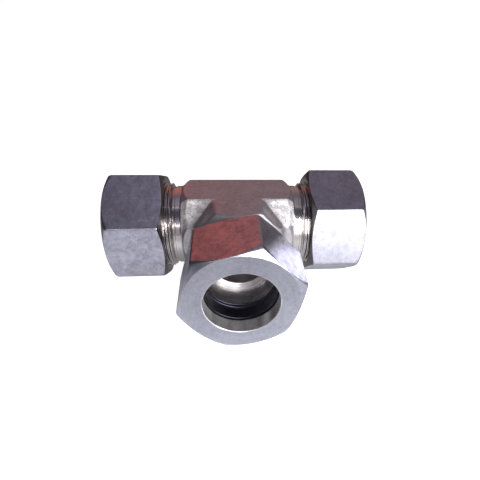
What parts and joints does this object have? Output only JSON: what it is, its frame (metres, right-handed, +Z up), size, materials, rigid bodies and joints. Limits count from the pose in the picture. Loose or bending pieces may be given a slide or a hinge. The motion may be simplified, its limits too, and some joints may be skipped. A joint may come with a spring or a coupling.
{
  "type": "compression fitting",
  "caption": "Equal tee compression fitting: a forged steel tee whose ports each hold a cutting ring under a hexagonal union nut that unscrews.",
  "frame": {"origin": "where the axes of the three ports cross, at the middle of the block", "axes": "+X along the run towards the right port, -Y along the branch port, +Z up, square to both"},
  "size_m": [0.1526, 0.1095, 0.0692],
  "materials": {
    "forged_steel": "blasted forging, bright turned necks, threads and bores",
    "nut_steel": "satin flats with bright turned hole",
    "ring_steel": "dark hardened steel, smooth"
  },
  "bodies": {
    "tee": {"tee_body": "forged_steel"},
    "ring_left": {"cutting_ring_left": "ring_steel"},
    "nut_left": {"nut_left": "nut_steel"},
    "ring_right": {"cutting_ring_right": "ring_steel"},
    "nut_right": {"nut_right": "nut_steel"},
    "ring_branch": {"cutting_ring_branch": "ring_steel"},
    "nut_branch": {"nut_branch": "nut_steel"}
  },
  "joints": [
    {"name": "ring_slide_left", "type": "slide", "parent": "tee", "child": "ring_left", "axis": [-1, 0, 0], "range_m": [0, 0.0142]},
    {"name": "nut_turn_left", "type": "hinge", "parent": "ring_left", "child": "nut_left", "pos_m": [-0.06, 0, 0], "axis": [-1, 0, 0], "range_deg": [0, 2520]},
    {"name": "ring_slide_right", "type": "slide", "parent": "tee", "child": "ring_right", "axis": [1, 0, 0], "range_m": [0, 0.0142]},
    {"name": "nut_turn_right", "type": "hinge", "parent": "ring_right", "child": "nut_right", "pos_m": [0.06, 0, 0], "axis": [1, 0, 0], "range_deg": [0, 2520]},
    {"name": "ring_slide_branch", "type": "slide", "parent": "tee", "child": "ring_branch", "axis": [0, -1, 0], "range_m": [0, 0.0142]},
    {"name": "nut_turn_branch", "type": "hinge", "parent": "ring_branch", "child": "nut_branch", "pos_m": [0, -0.06, 0], "axis": [0, -1, 0], "range_deg": [0, 2520]}
  ],
  "couplings": [
    {"joint": "ring_slide_left", "follows": "nut_turn_left", "m_per_rad": 0.00031831},
    {"joint": "ring_slide_right", "follows": "nut_turn_right", "m_per_rad": 0.00031831},
    {"joint": "ring_slide_branch", "follows": "nut_turn_branch", "m_per_rad": 0.00031831}
  ]
}
